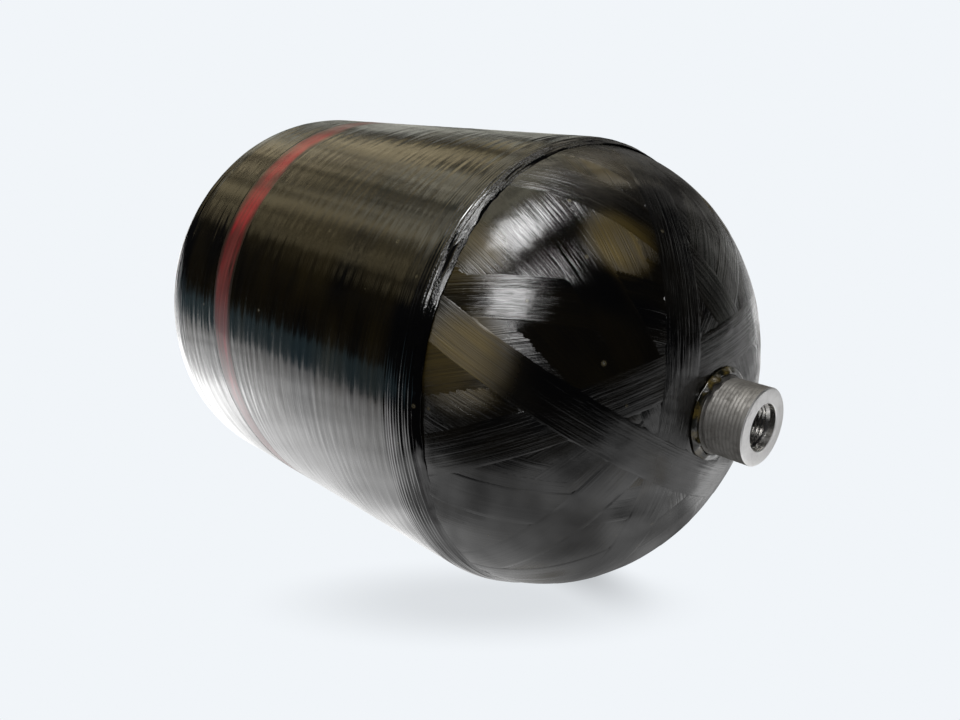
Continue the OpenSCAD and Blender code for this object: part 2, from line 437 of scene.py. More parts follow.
tracerBand = {
    "place": neckTangent - 127 * mm,
    "width": 15 * mm,
    "thickness": 0.8 * mm,
    "gap": 0.1 * mm,
    "lean": math.radians(6.5),  # its top leans towards the closed end
    "wander": 0.7 * mm,  # unevenness of its edges
    "topSpread": 1.6 * mm,  # how much further each edge lies at the top, and nearer at the ground
    "reach": 22 * mm,  # how far beside the band the turns still follow it
    "crown": 0.1 * mm,
    "steps": 20,  # facets across it
    "relief": 0.04 * mm,
}


def tracerShift(angle, side):  # how far an edge of the tracer band lies from its plain place
    lean = -math.tan(tracerBand["lean"]) * vessel["radius"] * math.cos(angle)
    wander = ringNoise(angle, 1.3, 7.1 * side) + 0.5 * ringNoise(angle, 5.0, 3.7 * side)
    return lean + tracerBand["wander"] * wander + side * tracerBand["topSpread"] * math.cos(angle)


def besideTracer(x, angle):  # shift of the hoop surface beside the leaning band
    away = x - tracerBand["place"]
    side = 1 if away > 0 else -1
    half = tracerBand["width"] / 2
    fade = 1 - smoothStep(half + mm, half + tracerBand["reach"], abs(away))
    return fade * tracerShift(angle, side)


def hoopTop(x):  # outer radius of the plain hoop plies
    past = max(x - neckTangent, baseTangent - x)
    if past <= 0:
        return vessel["radius"]
    taper = (vessel["hoopEdgeThickness"] - vessel["hoopThickness"]) * past / vessel["hoopOverhang"]
    return domeRadius(past) + vessel["hoopThickness"] + taper


def lipDrop(x):  # how far the rounded lip lies below the plain surface
    length, height = hoopPlies["lip"]
    outward = 1 - min(hoopHigh.x - x, x - hoopLow.x) / length
    if outward <= 0:
        return 0.0
    slope = hoopPlies["lipSlope"]
    return height * (slope * outward ** 1.25 + (1 - slope) * (1 - math.sqrt(max(1 - outward ** 2, 0.0))))


def endSway(x, angle):  # shift of the neck end of the plies, which isn't wound square
    fade = 1 - smoothStep(*hoopPlies["swayFade"], hoopHigh.x - x)
    return -hoopPlies["sway"] * fade * max(0.0, math.cos(angle - hoopPlies["swayTurn"])) ** 1.5


def wrapTop(x):  # outer radius of the helical plies
    return domeRadius(max(x - neckTangent, baseTangent - x, 0.0))


def hoopOutline():
    hoop = hoopPlies
    edgeLength = hoop["edgePitch"] * hoop["edgeTurns"]
    edgeSteps = hoop["edgeTurns"] * hoop["pointsPerEdgeTurn"]
    middleLength = hoopHigh.x - hoopLow.x - 2 * edgeLength
    middleSteps = round(middleLength / hoop["middleSpacing"])
    lipPoints = hoop["lipPoints"]
    lip = [hoop["lip"][0] * (1 - math.cos(math.pi / 2 * step / lipPoints)) for step in range(lipPoints)]
    coarse = [edgeLength * step / edgeSteps for step in range(edgeSteps)]
    places = [hoopHigh.x - inward for inward in lip]
    places += [hoopHigh.x - inward for inward in coarse[lipPoints - 1:]]
    places += [hoopHigh.x - edgeLength - middleLength * step / middleSteps for step in range(middleSteps)]
    places += [hoopLow.x + edgeLength - inward for inward in coarse[:edgeSteps - lipPoints + 2]]
    places += [hoopLow.x + inward for inward in reversed(lip)]
    middle = tracerBand["place"]
    half = tracerBand["width"] / 2 + tracerBand["gap"]
    outside = [(x, hoopTop(x) - lipDrop(x)) for x in places if abs(x - middle) > half + 0.3 * mm]
    beside = 0.06 * mm  # a close point that keeps the groove's corner crisp
    top = vessel["radius"]
    bottom = top - tracerBand["thickness"] - tracerBand["gap"]
    groove = [(middle + half + beside, top), (middle + half, top), (middle + half, bottom),
              (middle - half, bottom), (middle - half, top), (middle - half - beside, top)]
    before = [point for point in outside if point[0] > middle]
    after = [point for point in outside if point[0] < middle]
    pasts = [vessel["hoopOverhang"] * share for share in (0, 0.25, 0.5, 0.75, 1)]
    under = [(past, domeRadius(past)) for past in pasts]
    return before + groove + after + atBase(reversed(under)) + atNeck(under)


def shapeHoops(mesh):
    hoop = hoopPlies
    toneLayer, dryLayer, gritLayer = newLayers(mesh, "tone", "dry", "grit")
    edgeLength = hoop["edgePitch"] * hoop["edgeTurns"]
    lipLength, lipHeight = hoop["lip"]
    for vert in mesh.verts:
        place = vert.co.copy()
        x = place.x
        angle = angleOf(place)
        sway = endSway(x, angle)
        if radiusOf(place) < hoopTop(x) - lipDrop(x) - 0.3 * mm:  # the inside, and the floor of the groove
            nearTracer = abs(x - tracerBand["place"]) < tracerBand["width"]
            shift = sway + (besideTracer(x, angle) if nearTracer else 0)
            moveRadially(vert, wrapTop(x + sway) - wrapTop(x), shift)
            continue
        fromEnd = min(hoopHigh.x - x, x - hoopLow.x)
        neckSide = x > 0
        share = 1.0 if neckSide else hoop["baseShare"]
        edgeShare = 1 - smoothStep(edgeLength * 0.75, edgeLength * 1.15, fromEnd)
        turnShare = angle / fullTurn
        wander = 0.5 * roughness(place, "wander")
        phase = fullTurn * (fromEnd / hoop["edgePitch"] + turnShare + wander)
        strands = 0.4 * math.cos(phase) + 0.6 * roughness(place, "strand")
        strands += 0.9 * math.cos(1.5 * phase + 3 * roughness(place, "strandPhase"))
        edgeDepth = hoop["edgeRidge"] * (0.5 + 0.9 * roughness(place, "ridge"))
        turn = math.cos(fullTurn * (x / hoop["turnPitch"] + turnShare + 1.5 * wander))
        beyondLip = smoothStep(0.1 * lipLength, 0.6 * lipLength, fromEnd)
        beyondLip = max(beyondLip, smoothStep(*hoop["flushFrom"], math.cos(angle)))
        rise = share * beyondLip * edgeShare * edgeDepth * (strands - 1) / 2
        rise += (1 - edgeShare) * hoop["turnRidge"] * (turn - 1) / 2
        rise += hoop["ripple"] * (roughness(place, "ripple") + 0.6 * roughness(place, "fineRipple"))
        rise += hoop["unevenness"] * (roughness(place, "uneven") + 0.4 * roughness(place, "fineUneven"))
        worn = smoothStep(*hoop["wornFrom"], math.cos(angle - hoop["wornTurn"])) if neckSide else 1.0
        flush = smoothStep(*hoop["flushFrom"], math.cos(angle)) if neckSide else 0.0
        taper = lipHeight * max(0.0, 1 - fromEnd / hoop["flushLength"]) ** 1.5
        rise += (1 - flush) * lipDrop(x) * hoop["keptLip"] * (1 - worn) + flush * (lipDrop(x) - taper)
        onLip = 1 - smoothStep(0.9 * lipLength, 1.5 * lipLength, fromEnd)
        rise += share * onLip * hoop["grit"] * roughness(place, "crumb")
        rise += hoopTop(x + sway) - hoopTop(x)
        endShare = 1 - smoothStep(0, hoop["raggedLength"], fromEnd)
        ragged = ringNoise(angle, 2.0, 1.0) + 0.6 * ringNoise(angle, 14.0, 2.0)
        ragged += 0.4 * ringNoise(angle, 45.0, 3.0)
        shift = endShare * (hoop["raggedEdge"] * ragged - hoop["setBack"]) * (1 if neckSide else -1)
        shift += besideTracer(x, angle) + sway
        cloud = 0.5 + 1.1 * noise.noise(Vector((x * 55, angle * 1.6, 3.0)))
        vert[toneLayer] = hoop["tone"] * (1 - edgeShare) * min(max(cloud, 0.0), 1.0)
        valley = smoothStep(0.3, -0.9, strands) * (0.8 + 0.6 * noise.noise(Vector((x * 300, angle * 4, 6.0))))
        if neckSide:
            vert[gritLayer] = worn * onLip * smoothStep(-0.4, 0.1, roughness(place, "crumbPatch"))
            vert[dryLayer] = min(max(hoop["valleyDryness"] * edgeShare * beyondLip * valley, 0.0), 1.0)
        else:
            vert[dryLayer] = hoop["baseLipDryness"] * onLip
        moveRadially(vert, rise, shift)


hoopMesh = turnOutline(hoopOutline(), hoopPlies["steps"])
shapeHoops(hoopMesh)
fibreMap(hoopMesh)
hoopMaterial = laminateMaterial("hoop laminate", 160.0, 0.022 * mm, 0.07)
hoopPiece = newPiece("hoopPlies", hoopMesh, hoopMaterial, sharpFrom=40)
finishPiece(hoopPiece, "hoop_laminate", "hoop_wrap")

# Tracer band

tracerLook = {
    "deep": (0.10, 0.008, 0.009, 1),
    "pale": (0.15, 0.03, 0.026, 1),
    "fresh": (0.27, 0.002, 0.012, 1),
    "dark": (0.02, 0.004, 0.004, 1),
    "darkShare": 0.6,
    "stained": (0.01, 0.007, 0.004, 1),  # resin that covers the edges of the tow
    "freshSpots": ((-0.55, 0.26), (-0.86, 0.17), (0.9, 0.3), (2.6, 0.4)),  # angles and half lengths
    "fibreDepth": 0.04 * mm,
}


def tracerOutline():
    half = tracerBand["width"] / 2
    top = vessel["radius"]
    bottom = top - tracerBand["thickness"]
    outline = []
    for step in range(tracerBand["steps"] + 1):
        across = 1 - 2 * step / tracerBand["steps"]
        outline.append((tracerBand["place"] + half * across, top - tracerBand["crown"] * across ** 6))
    return outline + [(tracerBand["place"] - half, bottom), (tracerBand["place"] + half, bottom)]


def shapeTracer(mesh):
    bareLayer, freshLayer = newLayers(mesh, "bare", "fresh")
    for vert in mesh.verts:
        angle = angleOf(vert.co)
        across = (vert.co.x - tracerBand["place"]) / (tracerBand["width"] / 2)
        high = tracerShift(angle, 1)
        low = tracerShift(angle, -1)
        vert.co.x += low + (high - low) * (across + 1) / 2
        moveRadially(vert, tracerBand["relief"] * roughness(vert.co, "tracer"))
        fray = ringNoise(angle, 5.0, 5.0 * across) + 0.5 * ringNoise(angle, 22.0, 9.0 * across)
        fromEdge = 1 - abs(across) + 0.5 * fray * (1 - across ** 4)
        vert[bareLayer] = smoothStep(0.0, 0.5, fromEdge)
        patch = 0.3 * ringNoise(angle, 2.6, 0.8 * across) + 0.35 * ringNoise(angle, 9.0, 2.0 * across)
        patch += max(max(0.0, 1 - abs(angle - place) / half) for place, half in tracerLook["freshSpots"])
        vert[freshLayer] = smoothStep(0.05, 0.55, patch)


def tracerMaterial():
    material, tree, shader = newMaterial("red tracer")
    look = tracerLook
    fine, tow, cloud = streaks(tree)
    colour = mixColour(tree, cloud, look["deep"], look["pale"])
    colour = mixColour(tree, attribute(tree, "fresh"), colour, look["fresh"])
    colour = mixColour(tree, times(tree, tow, look["darkShare"]), colour, look["dark"])
    colour = mixColour(tree, attribute(tree, "bare"), look["stained"], colour)
    addBump(tree, shader, fine, look["fibreDepth"])
    setInputs(tree, shader, Base_Color=colour, Roughness=0.4, Coat_Weight=0.4, Coat_Roughness=0.1,
              Coat_IOR=1.5)
    return material


tracerMesh = turnOutline(tracerOutline(), hoopPlies["steps"])
shapeTracer(tracerMesh)
fibreMap(tracerMesh)
finishPiece(newPiece("tracerBand", tracerMesh, tracerMaterial(), sharpFrom=40), "tracer", "tracer_band")

# Helical plies under the bands

helicalSteps = {"round": 240, "outside": 40, "inside": 16}  # facets round the vessel and along each dome


def shellOutline():
    outer = domeCurve(vessel["polarOpening"], helicalSteps["outside"])
    inner = domeCurve(vessel["polarOpening"], helicalSteps["inside"], linerRadius, linerDepth)
    return atNeck(reversed(outer)) + atBase(outer) + atBase(reversed(inner)) + atNeck(inner)


helicalMesh = turnOutline(shellOutline(), helicalSteps["round"])
fibreMap(helicalMesh)
helicalMaterial = laminateMaterial("helical laminate", 150.0, 0.05 * mm, 0.13)
finishPiece(newPiece("helicalPlies", helicalMesh, helicalMaterial), "helical_laminate", "helical_wrap")

# Bands of the last helical layers on both domes

bands = {
    "width": 17 * mm,
    "count": 40,
    "topCount": 10,
    "perRound": 5,  # each round is a star of five bands round the neck
    "topRoundTurn": 36,  # degrees between the last two rounds
    "underRoundTurn": 9.5,  # degrees between the rounds under them
    "firstDirection": 242,  # closest approach of the last band, seen from the neck
    "layer": 0.1 * mm,  # thickness that each top band adds where it crosses another
    "underLayer": 0.02 * mm,
    "bed": 0.1 * mm,  # height of the lowest band
    "ramp": 2.6 * mm,  # over which a band climbs onto another
    "edge": 1.1 * mm,
    "apron": 0.3 * mm,  # how far the skin of a band goes past its edge
    "sheet": 0.12 * mm,  # thickness of that skin
    "hidden": 12 * mm,  # how far the bands run under the hoop plies
    "dive": 0.09 * mm,  # how far the edges of the top bands go under the surface they lie on
    "tows": 5,
    "towGroove": 0.02 * mm,
    "ripple": 0.03 * mm,
    "underRipple": 0.02 * mm,
    "pooledHeights": (14 * mm, -8 * mm),  # above the axis: where pooled resin starts and is full
    "pooledRadii": (34 * mm, 52 * mm),  # and the same by distance from the axis
    "steps": (120, 22),  # facets along and across a top band
    "skinSteps": (480, 100),  # facets round and along the skin of earlier bands
    "skin": (0.02 * mm, 0.1 * mm),  # how far off the dome its inside and its outside start
    "firstLength": 85 * mm,  # first guess of how far a band is from the dome's centre
    "mapReach": 88 * mm,  # that distance for its UV map
    "mapOffset": 0.31,  # between the maps of two bands
    "blackTone": 0.03,
    "lastTone": 0.55,
    "seed": 11,
}

# Painted sheen: parts of the dome where the fibre is made olive and metallic, placed where it catches the
# light:
# direction seen from the neck, tilt from the axis, half width, all in degrees, and strength
paintedSheenPatches = [
    (161, 75, 11, 1.0),
    (114, 57, 9, 0.9),
    (96, 77, 10, 0.6),
    (140, 83, 10, 0.4),
    (52, 66, 12, 0.6),
    (20, 44, 12, 0.5),
    (335, 70, 13, 0.7),
    (292, 52, 12, 0.5),
    (232, 72, 10, 0.4),
    (205, 30, 8, 0.25),
]


def bandList(end):
    chance = random.Random(bands["seed"] + end)
    wound = []
    for index in range(bands["count"]):
        fromLast = bands["count"] - 1 - index
        onTop = fromLast < bands["topCount"]
        roundsBack = fromLast // bands["perRound"]
        roundTurn = bands["topRoundTurn"] if onTop else bands["underRoundTurn"]
        direction = bands["firstDirection"] - 360 / bands["perRound"] * fromLast - roundTurn * roundsBack
        wound.append({
            "direction": math.radians(direction + (0 if onTop else chance.uniform(-2, 2))),
            "width": bands["width"] * (1 if onTop else chance.uniform(1.0, 1.2)),
            "stand": (0 if onTop else chance.uniform(0, 1.5)) * mm,  # how far it stays off the polar opening
            "layer": bands["layer"] if onTop else bands["underLayer"],
            "tone": bands["lastTone"] if fromLast == 0 else chance.uniform(0.3, 1.0),
            "dry": chance.choice((0.0, 0.0, 0.1, 0.25, 0.4)),
        })
    return wound[:-bands["topCount"]], wound[-bands["topCount"]:]


def paintedSheenShare(spot, end):  # how much painted olive sheen the fibre gets at a spot measured from the dome's centre
    outward = spot.normalized()
    share = bands["blackTone"]
    for direction, tilt, halfWidth, strength in paintedSheenPatches:
        turn = math.radians(direction)
        lean = math.radians(tilt)
        aside = math.sin(lean)
        centre = Vector((end * math.cos(lean), aside * math.cos(turn), aside * math.sin(turn)))
        away = math.degrees(outward.angle(centre)) / halfWidth
        share += strength * (1 - smoothStep(0.45, 1.25, away))
    return share


def resinPool(spot):  # 1 where thick resin has run down over the fibre, 0 on top and round the neck
    fromAxis = math.hypot(spot.y, spot.z)
    return smoothStep(*bands["pooledHeights"], spot.z) * smoothStep(*bands["pooledRadii"], fromAxis)


def bandPlane(end, band):
    reach = vessel["polarOpening"] + band["stand"] + band["width"] / 2
    lean = math.atan2(reach, domeHeight(reach))
    outward = Vector((end, 0, 0))
    radial = Vector((0, math.cos(band["direction"]), math.sin(band["direction"])))
    band["ahead"] = outward * math.cos(lean) + radial * math.sin(lean)
    band["normal"] = radial * math.cos(lean) - outward * math.sin(lean)
    band["aside"] = band["normal"].cross(band["ahead"])


def liftedOnDome(spot, end, lift):  # moves a spot, measured from the dome's centre, onto the dome
    power = vessel["domePower"]
    radius = math.hypot(spot.y, spot.z) / (wrapRadius + lift)
    past = max(spot.x * end, 0.0) / (vessel["domeDepth"] + lift)
    return spot / (radius ** power + past ** power) ** (1 / power)


def bandReach(end, band):  # angle along the band at which it runs under the hoop plies
    low, high = 0.2, math.pi / 2
    for _ in range(20):
        middle = (low + high) / 2
        spot = liftedOnDome(band["ahead"] * math.cos(middle) + band["aside"] * math.sin(middle), end, 0)
        if spot.x * end > vessel["hoopOverhang"] - bands["hidden"]:
            low = middle
        else:
            high = middle
    return low


def coverHeight(spot, earlier):  # height of the bands already laid at a spot
    height = bands["bed"]
    for band in earlier:
        away = abs(spot.dot(band["normal"]))
        outside = band["width"] / 2 + bands["ramp"] / 2
        if away < outside:
            inside = band["width"] / 2 - bands["ramp"] / 2
            height += band["layer"] * (1 - smoothStep(inside, outside, away))
    return height


def layBand(mesh, layers, end, band, earlier, index):
    mapLayer, toneLayer, dryLayer, pooledLayer = layers
    reach = bandReach(end, band)
    alongSteps, acrossSteps = bands["steps"]
    grid = bmesh.ops.create_grid(mesh, x_segments=alongSteps, y_segments=acrossSteps, size=1)
    places = {}
    for vert in grid["verts"]:
        turn = vert.co.x * reach
        ragged = 1 + 0.03 * noise.noise(Vector((turn * 9, index * 3.3, 2.0)))
        across = vert.co.y * (band["width"] / 2 + bands["apron"]) * ragged
        course = band["ahead"] * math.cos(turn) + band["aside"] * math.sin(turn)
        length = bands["firstLength"]
        for _ in range(3):
            spot = liftedOnDome(course * length + band["normal"] * across, end, 0)
            length *= 1 + (spot.dot(course) - length) / length
        lift = coverHeight(spot, earlier)
        body = smoothStep(-0.1 * mm, bands["edge"], band["width"] / 2 - abs(across))
        tow = abs(math.cos(math.pi * bands["tows"] * across / band["width"]))
        lift += band["layer"] * body - bands["dive"] * (1 - body)
        lift -= bands["towGroove"] * (1 - min(tow * 3, 1.0)) * body
        streak = noise.noise(Vector((turn * 3.0, across * 420, index * 5.1)))
        streak += noise.noise(Vector((turn * 11.0, across * 160, index * 2.7)))
        pool = resinPool(spot)
        lift += bands["ripple"] * streak * body * (1 - 0.8 * pool)
        patch = noise.noise(Vector((turn * 4.0, across * 90, index * 7.7)))
        vert.co = domeCentre(end) + liftedOnDome(spot, end, lift)
        places[vert] = (turn * bands["mapReach"] + index * bands["mapOffset"], across)
        # the band's tone times the painted olive sheen of the patches
        vert[toneLayer] = band["tone"] * paintedSheenShare(spot, end) * smoothStep(-0.5, 0.25, patch)
        vert[dryLayer] = band["dry"] * smoothStep(-0.4, 0.3, patch) * (1 - pool)
        vert[pooledLayer] = pool
    for face in {face for vert in grid["verts"] for face in vert.link_faces}:
        for loop in face.loops:
            loop[mapLayer].uv = places[loop.vert]


def bandLayers(mesh):
    return (mesh.loops.layers.uv.new("fibre"), *newLayers(mesh, "tone", "dry", "pooled"))


def layTopBands(name, end, under, top):
    mesh = bmesh.new()
    layers = bandLayers(mesh)
    for index, band in enumerate(top):
        layBand(mesh, layers, end, band, under + top[:index], index + len(under))
    bmesh.ops.recalc_face_normals(mesh, faces=mesh.faces)
    bmesh.ops.solidify(mesh, geom=mesh.faces[:], thickness=bands["sheet"])
    bmesh.ops.recalc_face_normals(mesh, faces=mesh.faces)
    return newPiece(name, mesh, bandMaterial)


def topmostBand(spot, wound):
    for index in range(len(wound) - 1, -1, -1):
        if abs(spot.dot(wound[index]["normal"])) < wound[index]["width"] / 2:
            return index
    return 0


def layUnderSkin(name, end, under):  # the earlier bands, fused into one skin under their resin
    stepsRound, stepsAlong = bands["skinSteps"]
    start = vessel["hoopOverhang"] - bands["hidden"]
    curve = [point for point in domeCurve(vessel["polarOpening"], stepsAlong) if point[0] > start]
    coarse = curve[::9] + [curve[-1]]
    centre = domeCentre(end)
    inside, outside = bands["skin"]
    outline = [(past + outside, radius + outside) for past, radius in curve]
    outline += [(past + inside, radius + inside) for past, radius in reversed(coarse)]
    mesh = turnOutline([(centre.x + end * past, radius) for past, radius in outline], stepsRound)
    mapLayer, toneLayer, dryLayer, pooledLayer = bandLayers(mesh)
    spots = {}
    for vert in mesh.verts:
        spot = liftedOnDome(vert.co - centre, end, 0)
        spots[vert] = spot
        if (vert.co - centre).length - spot.length > outside / 2:
            ripple = bands["underRipple"] * noise.noise(spot * 130)
            vert.co = centre + liftedOnDome(spot, end, coverHeight(spot, under) + ripple)
        band = under[topmostBand(spot, under)]
        # the band's tone times the painted olive sheen of the patches
        vert[toneLayer] = band["tone"] * paintedSheenShare(spot, end)
        vert[dryLayer] = band["dry"] * (1 - resinPool(spot))
        vert[pooledLayer] = resinPool(spot)
    for face in mesh.faces:
        index = topmostBand(liftedOnDome(face.calc_center_median() - centre, end, 0), under)
        band = under[index]
        for loop in face.loops:
            spot = spots[loop.vert]
            turn = math.atan2(spot.dot(band["aside"]), spot.dot(band["ahead"]))
            along = turn * bands["mapReach"] + index * bands["mapOffset"]
            loop[mapLayer].uv = (along, spot.dot(band["normal"]))
    return newPiece(name, mesh, bandMaterial)


bandMaterial = laminateMaterial("band laminate", 140.0, 0.1 * mm, 0.13)
for end, label in ((1, "neck"), (-1, "base")):
    underBands, topBands = bandList(end)
    for band in underBands + topBands:
        bandPlane(end, band)
    finishPiece(layUnderSkin(label + "UnderSkin", end, underBands), "band_laminate")
    finishPiece(layTopBands(label + "TopBands", end, underBands, topBands), "band_laminate", label + "_bands")

# Liner with its threaded neck

neck = {
    "threadRadius": 15 * mm,
    "threadPitch": 1.5 * mm,
    "threadDepth": 0.13 * mm,
    "collarRadius": 15.5 * mm,
    "collarTop": linerHigh.x - 16.6 * mm,
    "reliefWidth": 1.8 * mm,
    "reliefDepth": 1.1 * mm,
    "chamfer": 0.5 * mm,
    "boreRadius": 8.2 * mm,
    "boreEnd": linerHigh.x - 30 * mm,
    "boreThreadDepth": 0.6 * mm,
    "seatRadius": 9.1 * mm,
    "seatDepth": 2.4 * mm,
    "seatSlope": 0.9 * mm,
    "pointsPerPitch": 6,
    "steps": 120,
    "curveSteps": 18,
    "wall": 4 * mm,
    "poleWall": 9 * mm,
}
boss = {"radius": 15.5 * mm, "chamfer": 0.8 * mm}
alloys = {  # colours where the metal is fresh and where it is stained, and the roughness of each
    "turned alloy": ((0.25, 0.242, 0.23, 1), (0.165, 0.158, 0.147, 1), 0.62, 0.78),
    "faced alloy": ((0.97, 0.965, 0.96, 1), (0.86, 0.855, 0.85, 1), 0.45, 0.55),
    "bored alloy": ((0.62, 0.61, 0.59, 1), (0.35, 0.34, 0.33, 1), 0.2, 0.35),
}
reliefTop = neck["collarTop"] + neck["reliefWidth"]
seatFloor = linerHigh.x - neck["seatDepth"]


def threadPlaces(start, end):  # places along the axis, close enough to show each turn of a thread
    count = round(abs(end - start) / neck["threadPitch"] * neck["pointsPerPitch"])
    return [start + (end - start) * step / count for step in range(count + 1)]


def linerOutline():
    face = linerHigh.x
    thread = neck["threadRadius"]
    collar = neck["collarTop"]
    chamfer = neck["chamfer"]
    cavityDepth = linerDepth - neck["poleWall"]
    outer = domeCurve(neck["collarRadius"], neck["curveSteps"], linerRadius, linerDepth)
    inner = domeCurve(neck["boreRadius"], neck["curveSteps"], linerRadius - neck["wall"], cavityDepth)
    outline = [(x, neck["boreRadius"]) for x in threadPlaces(neck["boreEnd"], seatFloor - neck["seatSlope"])]
    outline += [
        (seatFloor, neck["seatRadius"]),
        (face - 0.25 * mm, neck["seatRadius"]),
        (face, neck["seatRadius"] + 0.25 * mm),
        (face, thread - chamfer - 0.1 * mm),
        (face - 0.05 * mm, thread - chamfer),
        (face - chamfer, thread - 0.04 * mm),
    ]
    outline += [(x, thread) for x in threadPlaces(face - chamfer - 0.2 * mm, reliefTop)]
    outline += [
        (reliefTop - 0.35 * mm, thread - neck["reliefDepth"]),
        (collar + 0.35 * mm, thread - neck["reliefDepth"]),
        (collar + 0.1 * mm, neck["collarRadius"] - 0.35 * mm),
        (collar - 0.15 * mm, neck["collarRadius"]),
    ]
    outline += atNeck(reversed(outer)) + atBase(outer)
    outline += [
        (linerLow.x + boss["chamfer"], boss["radius"]),
        (linerLow.x, boss["radius"] - boss["chamfer"]),
        (linerLow.x, 0),
        (baseTangent - cavityDepth, 0),
    ]
    return outline + atBase(reversed(inner)) + atNeck(inner)


def cutThreads(mesh):
    for vert in mesh.verts:
        x = vert.co.x
        radius = radiusOf(vert.co)
        turn = fullTurn * x / neck["threadPitch"] + angleOf(vert.co)
        if x > reliefTop - 0.1 * mm and radius > neck["threadRadius"] - 0.02 * mm:
            fade = smoothStep(0, 1.2 * mm, linerHigh.x - neck["chamfer"] - x)
            wear = 0.75 + 0.45 * ringNoise(angleOf(vert.co), 1.6, x * 180)
            moveRadially(vert, -neck["threadDepth"] * fade * wear * (0.5 - 0.5 * math.cos(turn)) ** 2)
        elif abs(radius - neck["boreRadius"]) < 0.02 * mm and neck["boreEnd"] + mm < x < seatFloor:
            moveRadially(vert, neck["boreThreadDepth"] * (0.5 - 0.5 * math.cos(turn)) ** 1.5)


def alloyMaterial(name, fresh, stained, smoothest, roughest):
    material, tree, shader = newMaterial(name)
    turnedPlaces = addNode(tree, "UVMap", uv_map="turned").outputs[0]
    addBump(tree, shader, stretchedNoise(tree, turnedPlaces, (14, 5200, 1), 2), 0.02 * mm)
    stains = spread(tree, stretchedNoise(tree, objectPlaces(tree), (260, 260, 260), 4, "3D"), 0.42, 0.7)
    setInputs(tree, shader, Base_Color=mixColour(tree, stains, fresh, stained), Metallic=1.0,
              Roughness=spread(tree, stains, 0.0, 1.0, smoothest, roughest))
    return material


linerMesh = turnOutline(linerOutline(), neck["steps"])
loose = [edge for edge in linerMesh.edges if not edge.link_faces]
bmesh.ops.delete(linerMesh, geom=loose, context="EDGES")
cutThreads(linerMesh)
wrapMap(linerMesh, "turned", neck["threadRadius"], lambda place: place.x - radiusOf(place))
linerPiece = newPiece("linerBody", linerMesh, *[alloyMaterial(name, *look) for name, look in alloys.items()],
                      sharpFrom=28)
for face in linerPiece.data.polygons:
    if face.center.x > linerHigh.x - 0.3 * mm:
        face.material_index = 1
    elif face.center.x > neck["boreEnd"] and radiusOf(face.center) < neck["seatRadius"] + 0.2 * mm:
        face.material_index = 2
finishPiece(linerPiece, "liner_metal", "liner")

# Cured resin round the neck and the blind boss

resin = {
    "width": 2.8 * mm,
    "crest": 2.0 * mm,  # height on the metal above the helical plies
    "lap": 0.6 * mm,  # and on the plies
    "gap": 0.1 * mm,
    "steps": 180,
    "sectionSteps": 12,
    "swell": 0.35 * mm,  # unevenness of its height
    "creep": 0.6 * mm,  # and of its width
    "lumpDirections": (88, 112, 131, 205, 238, 330),  # seen from the neck
    "lumpSizes": (1.6, 2.3, 1.7, 1.5, 0.9, 1.3),  # heights in millimetres
    "lumpSpread": math.radians(7),
    "clear": (0.005, 0.005, 0.003, 1),
    "cloudy": (0.07, 0.05, 0.012, 1),
}
resinFoot = domeHeight(vessel["polarOpening"]) + resin["lap"]


def resinOutline(end, metalRadius):
    rim = vessel["polarOpening"] - resin["gap"]
    seat = domeHeight(vessel["polarOpening"], linerRadius, linerDepth)
    crest = domeHeight(vessel["polarOpening"]) + resin["crest"]
    inside = metalRadius + resin["gap"]
    outline = [(seat + 0.6 * mm, inside), (seat + 0.2 * mm, rim), (resinFoot, rim)]
    for step in range(resin["sectionSteps"] + 1):
        share = step / resin["sectionSteps"]
        sag = 1 - math.sin(math.pi / 2 * share)
        outline.append((resinFoot + (crest - resinFoot) * (1 - sag), inside + resin["width"] * (1 - share)))
    return [(tangentOf(end) + end * past, radius) for past, radius in outline]


def shapeResin(mesh, end, metalRadius, lumps):
    for vert in mesh.verts:
        if (vert.co.x - tangentOf(end)) * end - resinFoot < -0.01 * mm:
            continue
        angle = angleOf(vert.co)
        outward = min(max((radiusOf(vert.co) - metalRadius) / resin["width"], 0.0), 1.0)
        middle = math.sin(math.pi * outward)
        rise = resin["swell"] * ringNoise(angle, 3.0, 6.0 + end) * (0.3 + middle)
        for direction, size in lumps:
            away = (angle - (math.pi / 2 - math.radians(direction)) + math.pi) % fullTurn - math.pi
            rise += size * mm * middle * math.exp(-(away / resin["lumpSpread"]) ** 2)
        moveRadially(vert, resin["creep"] * ringNoise(angle, 2.2, 3.0 + end) * outward, end * rise)


def resinMaterial():
    material, tree, shader = newMaterial("cured resin")
    cloud = spread(tree, stretchedNoise(tree, objectPlaces(tree), (190, 190, 190), 3, "3D"), 0.48, 0.68)
    colour = mixColour(tree, cloud, resin["clear"], resin["cloudy"])
    setInputs(tree, shader, Base_Color=colour, Roughness=0.25, IOR=1.55, Coat_Weight=0.6, Coat_Roughness=0.05,
              Coat_IOR=1.5)
    return material


curedResin = resinMaterial()
for end, label, metalRadius in ((1, "neck", neck["collarRadius"]), (-1, "base", boss["radius"])):
    lumps = list(zip(resin["lumpDirections"], resin["lumpSizes"])) if end > 0 else []
    resinMesh = turnOutline(resinOutline(end, metalRadius), resin["steps"])
    shapeResin(resinMesh, end, metalRadius, lumps)
    finishPiece(newPiece(label + "Resin", resinMesh, curedResin), "resin", label + "_resin")

# Camera, floor and light

view = {
    "place": (0.30823, -0.27050, 0.21960),
    "heading": (-0.68974, 0.65045, -0.31808),
    "lens": 31.94,
    "sensor": 36.0,
}
cameraData = bpy.data.cameras.new("view")
cameraData.lens = view["lens"]
cameraData.sensor_width = view["sensor"]
cameraData.clip_start = 0.01
camera = bpy.data.objects.new("view", cameraData)
camera.location = view["place"]
camera.rotation_euler = Vector(view["heading"]).to_track_quat("-Z", "Y").to_euler()
bpy.context.scene.collection.objects.link(camera)
bpy.context.scene.camera = camera
bpy.context.scene.view_settings.view_transform = "Standard"

